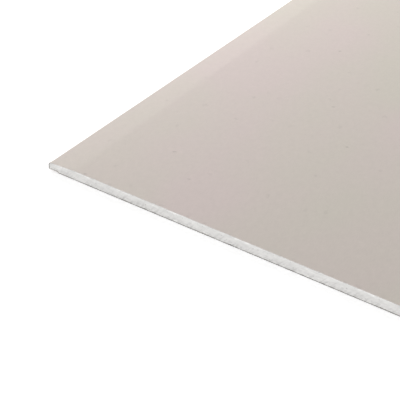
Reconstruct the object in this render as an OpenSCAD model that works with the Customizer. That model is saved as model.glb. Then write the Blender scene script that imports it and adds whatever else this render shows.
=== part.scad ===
// Tapered-edge drywall sheet, lying flat with its face up.
// A gypsum core is cast between two papers. The face paper folds round both long
// edges and is turned under the back, where the back paper laps over it. The two
// ends are sawn square, so they show the core and the cut papers.
// X runs across the sheet, Y along it, and the back paper lies on Z = 0.

/* [Sheet] */
// Width across the two folded long edges
sheet_width = 1200; // [600:50:1250]
// Length between the two sawn ends
sheet_length = 2400; // [1200:50:3600]
// Full thickness, papers included
sheet_thickness = 12.5; // [9.5:0.5:19]

/* [Tapered edges] */
// Distance from a long edge to where the face reaches its full height
taper_width = 40; // [30:1:80]
// Drop of the sloped face at the long edge
taper_depth = 2.3; // [0.6:0.1:2.5]
// Length over which the slope eases into the flat face
taper_ease = 7; // [2:0.5:20]

/* [Folded edges] */
// Outside radius of the fold from the sloped face to the edge
face_fold_radius = 1.8; // [0.8:0.1:2.4]
// Outside radius of the fold from the edge to the back
back_fold_radius = 1.4; // [0.8:0.1:3]
// Distance that the face paper is turned under the back
turn_under = 25; // [20:1:40]
// Height that the turned-under paper rises by between the back paper and the long edge
edge_rise = 0.8; // [0.2:0.1:1.2]
// Length of that rise, from the side of the back paper outwards
rise_length = 3; // [1:0.5:3]

/* [Papers] */
// Thickness of the face paper
face_paper_thickness = 0.4; // [0.25:0.05:0.6]
// Thickness of the back paper
back_paper_thickness = 0.4; // [0.25:0.05:0.6]
// Distance from a long edge to the side of the back paper
back_paper_inset = 12; // [5:1:18]

/* [Hidden] */

// Straight steps in each rounded fold, and in each long easing curve
fold_steps = 8;
ease_steps = 6;

// The slope ends in an easing curve, which touches it and the flat face
// half its length on either side of where they would meet
ease_tangent = taper_ease / 2;
slope_angle = atan(taper_depth / (taper_width - ease_tangent));
ease_radius = ease_tangent / tan(slope_angle / 2);

// Foot and head of the rise, as [distance in from the long edge, height]
rise_angle = atan(edge_rise / rise_length);
rise_foot = [back_paper_inset, back_paper_thickness];
rise_head = rise_foot + [-rise_length, edge_rise];

// Centres of the curves, in the same form
back_fold_centre = [back_fold_radius, rise_head.y + back_fold_radius];
face_fold_drop = taper_depth + face_fold_radius * (1 - sin(slope_angle)) / cos(slope_angle);
face_fold_centre = [face_fold_radius, sheet_thickness - face_fold_drop];
ease_centre = [taper_width, sheet_thickness - ease_radius];

// Points of an arc round a centre, from one angle to another
function arc(centre, radius, from, to, steps) = [
    for (i = [0:steps])
        let (angle = from + (to - from) * i / steps)
        centre + radius * [cos(angle), sin(angle)]
];

function reversed(points) = [for (i = [len(points) - 1:-1:0]) points[i]];

// Line round one long edge, a given depth under the outside of the face paper.
// It runs from the end of the turned-under paper to the flat face, with the long
// edge at x = 0 and the sheet on the +x side.
function edge_line(depth) = concat(
    [[turn_under, back_paper_thickness + depth]],
    [for (p = [rise_foot, rise_head]) p + depth * [tan(rise_angle / 2), 1]],
    arc(back_fold_centre, back_fold_radius - depth, 270, 180, fold_steps),
    arc(face_fold_centre, face_fold_radius - depth, 180, 90 + slope_angle, fold_steps),
    arc(ease_centre, ease_radius - depth, 90 + slope_angle, 90, ease_steps)
);

// The same line round the whole sheet: left long edge, face, right long edge
function wrap_line(depth) =
    let (left = [for (p = edge_line(depth)) [p.x - sheet_width / 2, p.y]])
    concat(left, reversed([for (p = left) [-p.x, p.y]]));

// A cross-section, drawn with x across and y up, drawn out to the sheet's length
module along_sheet() {
    rotate([90, 0, 0])
        linear_extrude(height = sheet_length, center = true)
            children();
}

// Gypsum fills the folded face paper, and between its turned-under strips
// it reaches down to the back paper
module gypsum_core() {
    bottom = sheet_width / 2 - turn_under;
    color("#e6e4e0")
        along_sheet()
            polygon(concat(
                wrap_line(face_paper_thickness),
                [[bottom, back_paper_thickness], [-bottom, back_paper_thickness]]
            ));
}

// One sheet of paper over the face, both long edges and a strip of the back
module face_paper() {
    color("#cbc1ba")
        along_sheet()
            polygon(concat(wrap_line(0), reversed(wrap_line(face_paper_thickness))));
}

// Flat paper over the back, lapped over the turned-under strips
module back_paper() {
    back_width = sheet_width - 2 * back_paper_inset;
    color("#8f8a83")
        along_sheet()
            translate([-back_width / 2, 0])
                square([back_width, back_paper_thickness]);
}

gypsum_core();
face_paper();
back_paper();
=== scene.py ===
import math

import bmesh
import bpy
import numpy as np
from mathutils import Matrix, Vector


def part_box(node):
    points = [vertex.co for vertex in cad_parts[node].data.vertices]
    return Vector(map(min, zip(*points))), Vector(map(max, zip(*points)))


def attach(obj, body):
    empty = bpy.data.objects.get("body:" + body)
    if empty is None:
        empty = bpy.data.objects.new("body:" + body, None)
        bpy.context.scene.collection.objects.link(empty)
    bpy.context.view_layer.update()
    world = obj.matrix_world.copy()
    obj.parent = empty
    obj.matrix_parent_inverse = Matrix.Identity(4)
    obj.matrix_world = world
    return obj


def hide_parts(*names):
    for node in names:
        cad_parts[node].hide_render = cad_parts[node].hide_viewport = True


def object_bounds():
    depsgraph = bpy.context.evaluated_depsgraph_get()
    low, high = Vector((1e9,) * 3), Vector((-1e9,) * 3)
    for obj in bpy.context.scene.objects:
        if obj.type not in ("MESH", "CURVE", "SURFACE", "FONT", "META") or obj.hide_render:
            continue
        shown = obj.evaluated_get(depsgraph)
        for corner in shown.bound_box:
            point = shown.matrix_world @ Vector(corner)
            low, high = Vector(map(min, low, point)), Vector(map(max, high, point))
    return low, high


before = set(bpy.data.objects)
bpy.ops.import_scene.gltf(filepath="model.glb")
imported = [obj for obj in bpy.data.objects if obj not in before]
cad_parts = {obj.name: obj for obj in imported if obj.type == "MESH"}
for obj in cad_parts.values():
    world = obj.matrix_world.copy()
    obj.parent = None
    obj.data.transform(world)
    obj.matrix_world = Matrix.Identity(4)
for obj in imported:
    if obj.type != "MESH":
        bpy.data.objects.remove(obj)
cad_low, cad_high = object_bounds()

# Drywall sheet that lies on a pale floor: a sawn gypsum core between two papers.
# Lengths are in metres, and the small ones are given in millimetres.
MM = 0.001
X, Y, Z = range(3)
near_end = cad_low.y
far_end = cad_high.y
near_left_corner = cad_low.copy()

# Camera, as an offset from the near left corner. It looks down, and to the left of +Y.
CAMERA_OFFSET = Vector((0.5602, -0.5344, 0.5110))
CAMERA_DOWN = math.radians(36.12)
CAMERA_LEFT = math.radians(34.03)
FOCAL_PIXELS = 826.25
IMAGE_PIXELS = 400
SENSOR_WIDTH = 36

# Lamps: where each one is and what it faces, from the same corner, with its width and power.
# The key is low beside the tapered edge, the fill is in front of the sawn end, the top lamp
# is over the far half, and the last lights the back through the opening in the floor.
LAMPS = {
    "key": {"place": (-1.20, 0.86, 0.57), "target": (0.2, 0.25, 0), "width": 0.6, "watts": 25},
    "fill": {"place": (0.7, -2.4, 0.35), "target": (0.3, 0, 0), "width": 1.6, "watts": 28.5},
    "top": {"place": (1.19, 2.05, 2.12), "target": (0.7, 1.4, 0), "width": 1.2, "watts": 25},
    "under": {"place": (0.6, 1.2, -3.0), "target": (0.6, 1.2, 0), "width": 2.4, "watts": 50},
}
WORLD_STRENGTH = 0.40
WHITE = (1, 1, 1, 1)

# Floor: it glows less beside the sheet than beyond the shadow, so that the shadow shows
FLOOR_REACH = 40
FLOOR_DROP = 0.05 * MM
FLOOR_LIT = (0.9, 0.9, 0.9, 1)
FLOOR_SEEN = (0.7, 0.7, 0.7, 1)
GLOW_BESIDE = 0.58
GLOW_BEYOND = 0.9
SHADOW_REACH = 60 * MM
OPENING_INSET = 1.5 * MM

# Meshes: how near points are to count as one or as in one plane, and the angle of a sharp edge
SAME_POINT = 0.001 * MM
SAME_PLANE = 0.01 * MM
SHARP_ANGLE = math.radians(35)

# Sawn ends of the core: their grid, and the depths of what the saw leaves
CORE_SEED = 7
SAWN_PITCH = 0.75 * MM
SAWN_ROWS = 17
STEP_SLOPE = 0.1 * MM
SAWN_RECESS = 0.20 * MM
SAWN_LEAST = 0.02 * MM
WAVE_DEPTH = 0.10 * MM
WAVE_CELL = 14 * MM
GRAIN_DEPTH = 0.07 * MM
GRAIN_CELL = 1.6 * MM
SAW_DEPTH = 0.14 * MM
SAW_CELL = 1.5 * MM
SAW_SLANT = 0.8
SAW_STRETCH = 0.2
ARRIS_DEPTH = (0.07 * MM, 0.35 * MM)
ARRIS_HEIGHT = 1.3 * MM
ARRIS_CELL = 4 * MM
PIT_COUNT = 900
PIT_RADIUS = (0.6 * MM, 1.7 * MM)
PIT_DEPTH = (0.18 * MM, 0.45 * MM)

# Cut ends of the papers: ragged, with nicks, and less ragged where a paper stands up
FACE_SEED = 11
BACK_SEED = 12
PAPER_PITCH = 1.0 * MM
RAGGED_DEPTH = 0.20 * MM
RAGGED_CELL = 2.2 * MM
NICK_COUNT = 40
NICK_WIDTH = (0.6 * MM, 2.2 * MM)
NICK_DEPTH = 0.45 * MM
FACE_RAGGED = 1.5
BACK_RAGGED = 0.35
STANDING_RAGGED = 0.2

# Burrs that the saw turns over the core, where a paper lies flat and where it stands up. Where the face
# paper stands up, its tall burr widens the dark cut that paints the shade of the gap behind the fold
FACE_BURR_AND_SHADE = (0.08 * MM, 0.95 * MM)
BACK_BURR = (0.42 * MM, 0.42 * MM)
BURR_SPREAD = 0.2
BURR_LENGTH = 0.22 * MM

# Cut end of the fold: it flares where the paper's slope is steeper than a share of upright.
# It stands out by one length at its top and another at its foot, and sags, less and less along a shoulder.
FLARE_FROM = 0.1
FOLD_FLARE = (1.1 * MM, 2.6 * MM)
FOLD_SAG = 0.7 * MM
SHOULDER = 9 * MM
SHOULDER_STEPS = (0.25, 0.5, 0.75, 1)

# Colours
FACE_PINK = (0.612, 0.534, 0.508)
FACE_YELLOW = (0.588, 0.547, 0.488)
FACE_CUT = (0.66, 0.63, 0.60)
# Up the long edges the face paper's cut is partly the paper's own grey, partly painted shade of the gap
# behind the fold
FOLD_CUT_AND_SHADE = (0.15, 0.142, 0.135)
BACK_GREY = (0.30, 0.28, 0.255)
BACK_BROWN = (0.33, 0.29, 0.245)
BACK_CUT = (0.39, 0.38, 0.37)
GYPSUM = (0.858, 0.846, 0.829)

# Distances in from the sheet's ends or long edges at which a change starts and is full
# Painted shade beside the sawn ends of the face paper
CUT_SHADE_INSET = (5 * MM, 1.5 * MM)
SCUFFED_INSET = (1.2 * MM, 0.2 * MM)
DENSE_INSET = (14 * MM, 4 * MM)

# Heights between which dust, the painted shade of the saw grooves, and the pale chipping and painted
# highlight of the arrises start or end
LOW_DUST = (1.3 * MM, 2.4 * MM)
HIGH_DUST = (7.5 * MM, 10.6 * MM)
GROOVE_SHADE_HEIGHTS = (1 * MM, 8 * MM)
LOW_ARRIS = (2 * MM, 4 * MM)
TOP_ARRIS = (cad_high.z - 5 * MM, cad_high.z - 1 * MM)

# Textures: the ranges that noise fills, the lean of the saw scores in degrees, and the form of a fleck
NOISE_RANGE = (0.3, 0.7)
CLOUD_RANGE = (0.35, 0.65)
SAW_LEAN = -38
FLECK_LUMPS = 0.7
FLECK_SWAY = 2.5
FLECK_CORE = 0.4
FLECK_FAINTEST = 0.35


class Nodes:
    """A node tree, with helpers that add its nodes and join them."""

    def __init__(self, tree):
        self.tree = tree

    def add(self, kind, inputs, **settings):
        node = self.tree.nodes.new("ShaderNode" + kind)
        for key, value in settings.items():
            setattr(node, key, value)
        for key, value in inputs.items():
            self.put(node.inputs[key], value)
        return node

    def put(self, socket, value):
        """Joins a socket to another node's output, or sets the socket's own value."""
        if isinstance(value, bpy.types.NodeSocket):
            self.tree.links.new(value, socket)
        else:
            socket.default_value = value

    def compute(self, operation, a, b=0.0):
        return self.add("Math", {0: a, 1: b}, operation=operation).outputs[0]

    def total(self, first, *others):
        for other in others:
            first = self.compute("ADD", first, other)
        return first

    def product(self, first, *others):
        for other in others:
            first = self.compute("MULTIPLY", first, other)
        return first

    def one_less(self, amount):
        return self.compute("SUBTRACT", 1.0, amount)

    def remap(self, value, start, end, low, high):
        """low where a value is at start, high where it is at end, and no further than these."""
        sockets = {"Value": value, "From Min": start, "From Max": end, "To Min": low, "To Max": high}
        return self.add("MapRange", sockets).outputs[0]

    def seen_directly(self):
        """1 for the camera's rays and for those that come by way of gloss or glass."""
        path = self.add("LightPath", {}).outputs
        by_way = self.compute("MAXIMUM", path["Is Glossy Ray"], path["Is Transmission Ray"])
        return self.compute("MAXIMUM", path["Is Camera Ray"], by_way)


class Material(Nodes):
    """A procedural material, laid out by the places of points on the sheet."""

    def __init__(self, name):
        self.data = bpy.data.materials.new(name)
        self.data.use_nodes = True
        super().__init__(self.data.node_tree)
        self.shader = self.tree.nodes["Principled BSDF"]
        self.place = self.add("TexCoord", {}).outputs["Object"]
        self.axes = self.add("SeparateXYZ", {0: self.place}).outputs

    def inset(self, axis):
        """How far in a point lies from the nearer side of the sheet along an axis."""
        return self.compute("SUBTRACT", cad_high[axis], self.compute("ABSOLUTE", self.axes[axis]))

    def scaled(self, scale, turn):
        """The place on the sheet, turned by degrees about X, Y and Z, then scaled along each axis."""
        spin = {"Vector": self.place, "Rotation": [math.radians(a) for a in turn]}
        turned = self.add("Mapping", spin).outputs[0]
        return self.add("Mapping", {"Vector": turned, "Scale": scale}).outputs[0]

    def noise(self, lumps, detail=2, turn=(0, 0, 0)):
        """Cloudy noise about 0.5, with a number of lumps in one metre along each axis."""
        vector = self.scaled(lumps, turn)
        return self.add("TexNoise", {"Vector": vector, "Scale": 1, "Detail": detail}).outputs["Fac"]

    def stretch(self, noise, low, high):
        """Noise that mostly lies between low and high."""
        return self.remap(noise, *NOISE_RANGE, low, high)

    def tone(self, noise, spread):
        """Noise as a tone about 1."""
        return self.stretch(noise, 1 - spread, 1 + spread)

    def above(self, noise, start, end, strength):
        """The high parts of a noise: 0 up to start, then rising to a strength at end."""
        return self.remap(noise, start, end, 0, strength)

    def mix(self, a, b, factor):
        return self.add("Mix", {0: factor, 6: (*a, 1), 7: (*b, 1)}, data_type="RGBA").outputs[2]

    def shade(self, colour, tone):
        """A colour or vector scaled by a tone."""
        return self.add("VectorMath", {0: colour, "Scale": tone}, operation="SCALE").outputs[0]

    def flecks(self, cells, radius, share, strength, turn=(0, 0, 0)):
        """Ragged spots up to a strength on 0, in a share of the cells of a scattered grid.

        cells counts them in one metre along each axis, and the radius is a part of a cell.
        """
        place = self.scaled(cells, turn)
        lumps = {"Vector": place, "Scale": FLECK_LUMPS / radius, "Detail": 2}
        sway = self.add("TexNoise", lumps).outputs["Color"]
        sway = self.add("VectorMath", {0: sway, 1: (0.5, 0.5, 0.5)}, operation="SUBTRACT").outputs[0]
        sway = self.shade(sway, FLECK_SWAY * radius)
        ragged = self.add("VectorMath", {0: place, 1: sway}, operation="ADD").outputs[0]
        cell = self.add("TexVoronoi", {"Vector": ragged, "Scale": 1}, voronoi_dimensions="2D").outputs
        pick = self.add("SeparateColor", {0: cell["Color"]}).outputs
        spot = self.remap(cell["Distance"], FLECK_CORE * radius, radius, 1, 0)
        chosen = self.compute("LESS_THAN", pick[0], share)
        depth = self.remap(pick[1], 0, 1, FLECK_FAINTEST, 1)
        return self.product(spot, chosen, depth, strength)

    def finish(self, colour, roughness, height, bump, specular):
        """Sets the shader and returns the material. bump is the depth that a height of 1 stands for."""
        self.put(self.shader.inputs["Base Color"], colour)
        self.put(self.shader.inputs["Roughness"], roughness)
        self.put(self.shader.inputs["Specular IOR Level"], specular)
        normal = self.add("Bump", {"Height": height, "Distance": bump, "Strength": 1}).outputs[0]
        self.put(self.shader.inputs["Normal"], normal)
        return self.data


def face_paper_material():
    """Smooth ivory-grey lining paper: faint clouds, fibres along the sheet and a few flecks.

    It has painted shade in patches beside the sawn ends, and is scuffed on the long edges.
    """
    m = Material("face_paper_ivory")
    clouds = m.remap(m.noise((7, 4, 7), detail=3), *CLOUD_RANGE, low=0, high=1)
    formation = m.tone(m.noise((160, 110, 160), detail=4), spread=0.015)
    fibre = m.noise((900, 240, 900), detail=3)
    spots = m.flecks(cells=(26, 20, 26), radius=0.08, share=0.6, strength=0.075)
    small = m.flecks(cells=(70, 60, 70), radius=0.06, share=0.4, strength=0.04)
    hairs = m.flecks(cells=(60, 14, 60), radius=0.045, share=0.3, strength=0.04, turn=(0, 0, 35))
    strokes = m.flecks(cells=(12, 7, 12), radius=0.019, share=0.6, strength=0.2, turn=(0, 0, 65))
    pale = m.flecks(cells=(34, 26, 34), radius=0.06, share=0.5, strength=0.03, turn=(0, 0, 60))
    # Painted shade: darker patches in the face paper within a few millimetres of the sawn ends
    near_cut = m.remap(m.inset(Y), *CUT_SHADE_INSET, low=0, high=1)
    cut_shade_patches = m.above(m.noise((150, 60, 150), detail=3), start=0.5, end=0.68, strength=0.09)
    dark = m.total(spots, small, hairs, strokes, m.product(cut_shade_patches, near_cut))
    marks = m.total(m.one_less(dark), pale)
    on_edge = m.remap(m.inset(X), *SCUFFED_INSET, low=0, high=1)
    scuffs = m.remap(m.noise((90, 16, 90), detail=4), *CLOUD_RANGE, low=0.16, high=0.3)
    scuffed = m.one_less(m.product(scuffs, on_edge))
    tone = m.product(formation, m.tone(fibre, spread=0.02), marks, scuffed)
    colour = m.shade(m.mix(FACE_PINK, FACE_YELLOW, clouds), tone)
    roughness = m.stretch(fibre, low=0.78, high=0.9)
    height = m.total(fibre, m.noise((1400, 1400, 1400)))
    return m.finish(colour, roughness, height, bump=0.015 * MM, specular=0.25)


def back_paper_material():
    """Grey-brown recycled paper with light and dark fibres."""
    m = Material("back_paper_grey")
    clouds = m.remap(m.noise((9, 5, 9), detail=3), *CLOUD_RANGE, low=0, high=1)
    formation = m.tone(m.noise((140, 90, 140), detail=4), spread=0.07)
    fibre = m.noise((700, 180, 700), detail=3)
    marks = m.one_less(m.flecks(cells=(60, 45, 60), radius=0.06, share=0.5, strength=0.25))
    for angle in (20, -50):
        pale = m.flecks(cells=(110, 22, 110), radius=0.05, share=0.5, strength=0.14, turn=(0, 0, angle))
        marks = m.total(marks, pale)
    tone = m.product(formation, m.tone(fibre, spread=0.07), marks)
    colour = m.shade(m.mix(BACK_GREY, BACK_BROWN, clouds), tone)
    roughness = m.stretch(fibre, low=0.85, high=0.95)
    height = m.total(fibre, m.noise((1100, 1100, 1100)))
    return m.finish(colour, roughness, height, bump=0.03 * MM, specular=0.2)


def cut_paper_material(name, bare_colour_and_shade, dusty_colour):
    """The cut edge of a paper: fibres end on, whitened by gypsum dust except up the long edges, where the
    face paper's cut is dark with painted shade of the gap behind the fold.
    """
    m = Material(name)
    fibre = m.noise((700, 700, 2500), detail=3)
    low_dust = m.remap(m.axes[Z], *LOW_DUST, low=1, high=0)
    high_dust = m.remap(m.axes[Z], *HIGH_DUST, low=0, high=1)
    base = m.mix(bare_colour_and_shade, dusty_colour, m.compute("MAXIMUM", low_dust, high_dust))
    colour = m.shade(base, m.tone(fibre, spread=0.15))
    roughness = m.stretch(fibre, low=0.9, high=1)
    return m.finish(colour, roughness, fibre, bump=0.05 * MM, specular=0.1)


def gypsum_material():
    """Chalky sawn gypsum: mottled white, with painted shade in its fine pitting and along the saw's
    grooves, and pale chipping with a painted highlight along its arrises.

    It is a little greyer beside the long edges, and has a faint painted shade towards the back, which lies
    on the floor.
    """
    m = Material("gypsum_sawn")
    mottle = m.tone(m.noise((120, 120, 330), detail=4), spread=0.06)
    patches = m.tone(m.noise((45, 45, 120), detail=3), spread=0.045)
    dense = m.remap(m.inset(X), *DENSE_INSET, low=1, high=0.93)
    low_down = m.remap(m.axes[Z], *GROOVE_SHADE_HEIGHTS, low=1, high=0.25)
    # Painted shade of the saw grooves: dark slanting streaks, strongest low down
    groove_shade = m.noise((420, 420, 70), turn=(0, SAW_LEAN, 0))
    groove_shade = m.above(groove_shade, start=0.5, end=0.72, strength=0.26)
    groove_shaded = m.one_less(m.product(groove_shade, low_down))
    # Painted shade in the pitting: small dark spots on the sawn end
    pit_shade = m.flecks(cells=(170, 170, 170), radius=0.16, share=0.45, strength=0.24, turn=(90, 0, 0))
    # Painted shade: a little darker towards the back, which lies on the floor, over a slight lightening of
    # the whole
    lift_and_low_shade = m.remap(m.axes[Z], cad_low.z, cad_high.z, low=1.02, high=1.03)
    # Pale chipping along both arrises, and a painted highlight along the top one
    arris_chipping_and_highlight = m.above(m.noise((80, 80, 300), detail=3), start=0.53, end=0.66, strength=0.18)
    low_arris = m.remap(m.axes[Z], *LOW_ARRIS, low=1, high=0)
    top_arris = m.remap(m.axes[Z], *TOP_ARRIS, low=0, high=1)
    chipped_and_highlit = m.total(1.0, m.product(arris_chipping_and_highlight, m.compute("MAXIMUM", low_arris, top_arris)))
    tone = m.product(mottle, patches, dense, groove_shaded, lift_and_low_shade, chipped_and_highlit, m.one_less(pit_shade))
    grain = m.noise((1600, 1600, 1600), detail=3)
    roughness = m.stretch(grain, low=0.88, high=1)
    return m.finish(m.shade(GYPSUM, tone), roughness, grain, bump=0.12 * MM, specular=0.15)


def between(bounds, share):
    """The value that lies a share of the way from the first bound to the second."""
    return bounds[0] + share * (bounds[1] - bounds[0])


def smooth_noise(x, z, cell, rng):
    """Soft random values from -1 to 1 at the points (x, z), with lumps about one cell across."""
    u = (x - x.min()) / cell
    v = (z - z.min()) / cell
    i = u.astype(int)
    j = v.astype(int)
    lattice = rng.uniform(-1, 1, (i.max() + 2, j.max() + 2))
    s = (u - i) ** 2 * (3 - 2 * (u - i))
    t = (v - j) ** 2 * (3 - 2 * (v - j))
    low = lattice[i, j] * (1 - s) + lattice[i + 1, j] * s
    high = lattice[i, j + 1] * (1 - s) + lattice[i + 1, j + 1] * s
    return low * (1 - t) + high * t


def end_outline(node):
    """Corner points (x, z) of a node's cross-section, in order round its near end."""
    shape = bmesh.new()
    shape.from_mesh(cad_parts[node].data)
    bmesh.ops.remove_doubles(shape, verts=shape.verts, dist=SAME_POINT)
    at_end = {v for v in shape.verts if v.co.y < near_end + SAME_PLANE}
    cap = {f for f in shape.faces if at_end.issuperset(f.verts)}
    following = {}
    for face in cap:
        for corner in face.loops:
            if len(cap.intersection(corner.edge.link_faces)) == 1:
                following[corner.vert] = corner.link_loop_next.vert
    first = max(following, key=lambda v: (v.co.x, v.co.z))
    points = [(first.co.x, first.co.z)]
    vert = following[first]
    while vert is not first:
        points.append((vert.co.x, vert.co.z))
        vert = following[vert]
    shape.free()
    return np.array(points)


def grid_quads(index):
    """Quads between neighbouring rows and columns of a grid of vertex numbers."""
    corners = [index[:-1, :-1], index[:-1, 1:], index[1:, 1:], index[1:, :-1]]
    return np.stack(corners, -1).reshape(-1, 4)


def add_piece(name, node, points, parts):
    """A closed mesh that stands for a CAD node. parts holds pairs of quads and their material."""
    mesh = bpy.data.meshes.new(name)
    quads = np.concatenate([part[0] for part in parts])
    mesh.from_pydata(points.tolist(), [], quads.tolist())
    slots = []
    for slot, (part, material) in enumerate(parts):
        mesh.materials.append(material)
        slots.append(np.full(len(part), slot))
    mesh.polygons.foreach_set("material_index", np.concatenate(slots))
    shape = bmesh.new()
    shape.from_mesh(mesh)
    bmesh.ops.remove_doubles(shape, verts=shape.verts, dist=SAME_POINT)
    bmesh.ops.recalc_face_normals(shape, faces=shape.faces)
    shape.to_mesh(mesh)
    shape.free()
    mesh.shade_smooth()
    mesh.set_sharp_from_angle(angle=SHARP_ANGLE)
    piece = bpy.data.objects.new(name, mesh)
    bpy.context.scene.collection.objects.link(piece)
    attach(piece, "root")
    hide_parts(node)


def sawn_depth(x, z, low, high, rng):
    """How far each point of a sawn end lies in from the plane of the cut."""
    depth = SAWN_RECESS + WAVE_DEPTH * smooth_noise(x, z, WAVE_CELL, rng)
    depth += GRAIN_DEPTH * smooth_noise(x, z, GRAIN_CELL, rng)
    toward_back = (high - z) / (high - low)
    depth += SAW_DEPTH * toward_back * smooth_noise(x - SAW_SLANT * z, SAW_STRETCH * z, SAW_CELL, rng)
    from_arris = np.minimum(z - low, high - z)
    crumbled = between(ARRIS_DEPTH, (1 + smooth_noise(x, z, ARRIS_CELL, rng)) / 2)
    depth += crumbled * np.clip(1 - from_arris / ARRIS_HEIGHT, 0, 1)
    centres = rng.uniform(x.min(), x.max(), PIT_COUNT)
    heights = rng.uniform(0, 1, PIT_COUNT)
    sizes = rng.uniform(0, 1, PIT_COUNT) ** 2
    for centre_x, height, size in zip(centres, heights, sizes):
        radius = between(PIT_RADIUS, size)
        columns = np.abs(x[0] - centre_x) < radius
        centre_z = between((low[0, columns], high[0, columns]), height)
        away = ((x[:, columns] - centre_x) ** 2 + (z[:, columns] - centre_z) ** 2) / radius ** 2
        depth[:, columns] += between(PIT_DEPTH, size) * np.clip(1 - away, 0, 1)
    return np.maximum(depth, SAWN_LEAST)


def add_core(gypsum):
    """The gypsum core. Each sawn end is a grid of points over the core's section."""
    outline = end_outline("gypsum_core")
    left, bottom = outline.min(0)
    right, top = outline.max(0)
    # The upright steps beside the turned-under paper slope a little, so that each x has one height
    lowest = outline[:, 1] < bottom + SAME_PLANE
    outline[lowest, 0] -= np.sign(outline[lowest, 0]) * STEP_SLOPE
    outline = outline[np.argsort(outline[:, 0], kind="stable")]
    in_upper_half = outline[:, 1] > (bottom + top) / 2
    columns = round((right - left) / SAWN_PITCH)
    x = np.linspace(left, right, columns + 1)[None, :]
    low = np.interp(x, *outline[~in_upper_half].T)
    high = np.interp(x, *outline[in_upper_half].T)
    x = np.repeat(x, SAWN_ROWS, 0)
    z = between((low, high), np.linspace(0, 1, SAWN_ROWS)[:, None])
    rng = np.random.default_rng(CORE_SEED)
    near = np.stack([x, near_end + sawn_depth(x, z, low, high, rng), z], -1)
    far = np.stack([x, far_end - sawn_depth(x, z, low, high, rng), z], -1)
    points = np.concatenate([near.reshape(-1, 3), far.reshape(-1, 3)])
    near_index = np.arange(x.size).reshape(x.shape)
    far_index = near_index + x.size
    quads = [grid_quads(near_index), grid_quads(far_index)]
    for rim in (np.s_[0, :], np.s_[-1, :], np.s_[:, 0], np.s_[:, -1]):
        quads.append(grid_quads(np.stack([near_index[rim], far_index[rim]])))
    add_piece("sawn_core", "gypsum_core", points, [(np.concatenate(quads), gypsum)])


def refine(line, other):
    """Two matching lines with points added, so that no step is much longer than the paper pitch."""
    fine = [line[:1]]
    fine_other = [other[:1]]
    for a, b, c, d in zip(line[:-1], line[1:], other[:-1], other[1:]):
        steps = max(1, round(np.linalg.norm(b - a) / PAPER_PITCH))
        shares = (np.arange(steps) + 1)[:, None] / steps
        fine.append(between((a, b), shares))
        fine_other.append(between((c, d), shares))
    return np.concatenate(fine), np.concatenate(fine_other)


def ragged_edge(along, rng):
    """How far the cut end of a paper lies in from the plane of the cut."""
    ragged = RAGGED_DEPTH * (1 + smooth_noise(along, 0 * along, RAGGED_CELL, rng)) / 2
    centres = rng.uniform(0, along[-1], NICK_COUNT)
    sizes = rng.uniform(0, 1, NICK_COUNT)
    for centre, size in zip(centres, sizes):
        width = between(NICK_WIDTH, size)
        ragged += NICK_DEPTH * size * np.clip(1 - ((along - centre) / width) ** 2, 0, 1)
    return ragged


def fold_flare(outer, inward):
    """Offset (x, z) to take from a paper's points at its cut end, which moves them out and down.

    It is 0 where the paper lies flat, and full where it stands up a long edge.
    """
    down = (cad_high.z - outer[:, 1]) / (cad_high.z - cad_low.z)
    standing = np.clip((np.abs(inward[:, 0]) - FLARE_FROM) / (1 - FLARE_FROM), 0, 1)
    lean = 1 - (1 - standing) ** 3
    sideways = between(FOLD_FLARE, down) * np.sign(inward[:, 0])
    return np.stack([sideways * lean, FOLD_SAG * lean], -1)


def add_paper(name, node, section, burr, raggedness, finishes, seed):
    """A paper that follows a section line, with ragged ends burred over the core by the saw.

    Where it stands up the long edges it flares out, and crushed gypsum fills the gap.
    finishes holds the materials of the paper, of its cut and of the gypsum.
    """
    rng = np.random.default_rng(seed)
    outer, inner = refine(*section)
    along = np.concatenate([[0], np.cumsum(np.linalg.norm(np.diff(outer, axis=0), axis=1))])
    inward = inner - outer
    inward /= np.linalg.norm(inward, axis=1)[:, None]
    upright = np.abs(inward[:, 0])
    flare = fold_flare(outer, inward)
    raggedness = raggedness * between((1, STANDING_RAGGED), upright)
    outer_layer = []
    inner_layer = []
    for end, side in ((near_end, 1), (far_end, -1)):
        cut_at = end + side * raggedness * ragged_edge(along, rng)
        unevenness = BURR_SPREAD * (1 - smooth_noise(along, 0 * along, RAGGED_CELL, rng))
        height = between(burr, upright) * (1 - unevenness)
        behind = cut_at + side * BURR_LENGTH
        lip = inner + inward * height[:, None]
        outer_rows = [(cut_at, outer - flare), (behind, outer - flare)]
        inner_rows = [(cut_at, lip - flare), (cut_at, lip), (behind, inner - flare)]
        for share in SHOULDER_STEPS:
            fading = flare * (1 - share) ** 2
            y = np.full_like(along, end + side * SHOULDER * share)
            outer_rows.append((y, outer - fading))
            inner_rows.append((y, inner - fading))
        outer_layer += [np.stack([line[:, 0], y, line[:, 1]], -1) for y, line in outer_rows[::side]]
        inner_layer += [np.stack([line[:, 0], y, line[:, 1]], -1) for y, line in inner_rows[::side]]
    points = np.array(outer_layer + inner_layer)
    index = np.arange(points.shape[0] * points.shape[1]).reshape(points.shape[:2])
    outside, inside = np.split(index, [len(outer_layer)])
    on_core = inside[1:-1]
    plain = [grid_quads(outside), grid_quads(on_core)]
    cuts = [grid_quads(np.stack([outside[row], inside[row]])) for row in (0, -1)]
    cuts += [grid_quads(np.stack([outside[:, rim], on_core[:, rim]])) for rim in (0, -1)]
    crushed = [grid_quads(inside[:2]), grid_quads(inside[-2:])]
    parts = [(np.concatenate(quads), finish) for quads, finish in zip((plain, cuts, crushed), finishes)]
    add_piece(name, node, points.reshape(-1, 3), parts)


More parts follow.
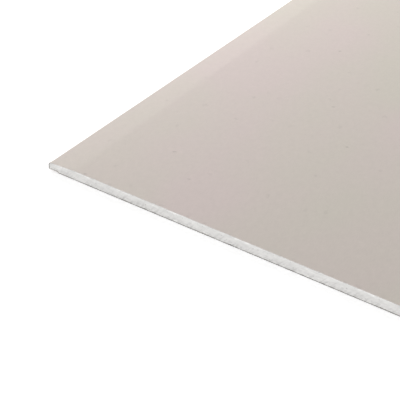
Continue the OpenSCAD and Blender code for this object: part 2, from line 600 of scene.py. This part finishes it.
def add_face_paper(gypsum):
    """The face paper. Its outline starts at the end of the strip turned under on the right."""
    outline = end_outline("face_paper")
    lowest = outline[:, 1] < outline[:, 1].min() + SAME_PLANE
    turned_under = np.flatnonzero(lowest & (outline[:, 0] > 0))
    start = turned_under[np.argmin(outline[turned_under, 0])]
    outer, inner = np.split(np.roll(outline, -start, axis=0), 2)
    section = (outer, inner[::-1])
    # Its cut is pale with dust, and dark up the long edges with painted shade of the gap behind the fold
    cut = cut_paper_material("face_paper_cut_and_shade", FOLD_CUT_AND_SHADE, FACE_CUT)
    finishes = (face_paper_material(), cut, gypsum)
    add_paper("folded_face_paper", "face_paper", section, FACE_BURR_AND_SHADE, FACE_RAGGED, finishes, FACE_SEED)


def add_back_paper(gypsum):
    """The back paper. It lies flat, so its cut has one colour all along."""
    low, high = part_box("back_paper")
    outer = np.array([(low.x, low.z), (high.x, low.z)])
    inner = np.array([(low.x, high.z), (high.x, high.z)])
    section = (outer, inner)
    cut = cut_paper_material("back_paper_cut", BACK_CUT, BACK_CUT)
    finishes = (back_paper_material(), cut, gypsum)
    add_paper("lapped_back_paper", "back_paper", section, BACK_BURR, BACK_RAGGED, finishes, BACK_SEED)


def add_camera():
    """The view of the near left corner."""
    data = bpy.data.cameras.new("camera")
    data.sensor_width = SENSOR_WIDTH
    data.lens = SENSOR_WIDTH * FOCAL_PIXELS / IMAGE_PIXELS
    camera = bpy.data.objects.new("camera", data)
    camera.location = near_left_corner + CAMERA_OFFSET
    camera.rotation_euler = (math.pi / 2 - CAMERA_DOWN, 0, CAMERA_LEFT)
    bpy.context.scene.collection.objects.link(camera)
    bpy.context.scene.camera = camera


def add_lamp(name, place, target, width, watts):
    """A round lamp, which the camera doesn't see."""
    data = bpy.data.lights.new(name, "AREA")
    data.shape = "DISK"
    data.size = width
    data.energy = watts
    lamp = bpy.data.objects.new(name, data)
    lamp.location = near_left_corner + Vector(place)
    lamp.rotation_euler = (Vector(target) - Vector(place)).to_track_quat("-Z", "Y").to_euler()
    lamp.visible_camera = False
    bpy.context.scene.collection.objects.link(lamp)


def add_world():
    """Even light from all round, which is white where it is seen."""
    world = bpy.data.worlds.new("studio")
    bpy.context.scene.world = world
    world.use_nodes = True
    nodes = Nodes(world.node_tree)
    background = nodes.tree.nodes["Background"].inputs
    strength = nodes.remap(nodes.seen_directly(), 0, 1, low=WORLD_STRENGTH, high=1)
    nodes.put(background["Color"], WHITE)
    nodes.put(background["Strength"], strength)


def floor_material():
    """White to the camera apart from the sheet's shadow, plain pale to the light, clear from below."""
    m = Material("floor_white")
    m.tree.nodes.remove(m.shader)
    beyond = [m.compute("MAXIMUM", m.product(m.inset(axis), -1), 0) for axis in (X, Y)]
    away = m.compute("SQRT", m.total(*[m.product(b, b) for b in beyond]))
    strength = m.remap(away, 0, SHADOW_REACH, low=GLOW_BESIDE, high=GLOW_BEYOND)
    glow = m.add("Emission", {"Strength": strength}).outputs[0]
    shaded = m.add("BsdfDiffuse", {"Color": FLOOR_SEEN}).outputs[0]
    white = m.add("AddShader", {0: shaded, 1: glow}).outputs[0]
    lit = m.add("BsdfDiffuse", {"Color": FLOOR_LIT}).outputs[0]
    from_above = m.add("MixShader", {0: m.seen_directly(), 1: lit, 2: white}).outputs[0]
    clear = m.add("BsdfTransparent", {}).outputs[0]
    is_below = m.add("NewGeometry", {}).outputs["Backfacing"]
    surface = m.add("MixShader", {0: is_below, 1: from_above, 2: clear}).outputs[0]
    m.put(m.tree.nodes["Material Output"].inputs["Surface"], surface)
    return m.data


def add_floor():
    """A wide floor with an opening under the sheet, through which its back is seen and lit."""
    level = cad_low.z - FLOOR_DROP
    corners = ((-1, -1), (1, -1), (1, 1), (-1, 1))
    opening_x = cad_high.x - OPENING_INSET
    opening_y = cad_high.y - OPENING_INSET
    points = [(FLOOR_REACH * x, FLOOR_REACH * y, level) for x, y in corners]
    points += [(opening_x * x, opening_y * y, level) for x, y in corners]
    mesh = bpy.data.meshes.new("floor")
    mesh.from_pydata(points, [], [(i, (i + 1) % 4, (i + 1) % 4 + 4, i + 4) for i in range(4)])
    mesh.materials.append(floor_material())
    floor = bpy.data.objects.new("floor", mesh)
    bpy.context.scene.collection.objects.link(floor)


add_camera()
gypsum_finish = gypsum_material()
add_core(gypsum_finish)
add_face_paper(gypsum_finish)
add_back_paper(gypsum_finish)
add_floor()
add_world()
for lamp_name, lamp_values in LAMPS.items():
    add_lamp(lamp_name, **lamp_values)
bpy.context.scene.view_settings.view_transform = "Standard"
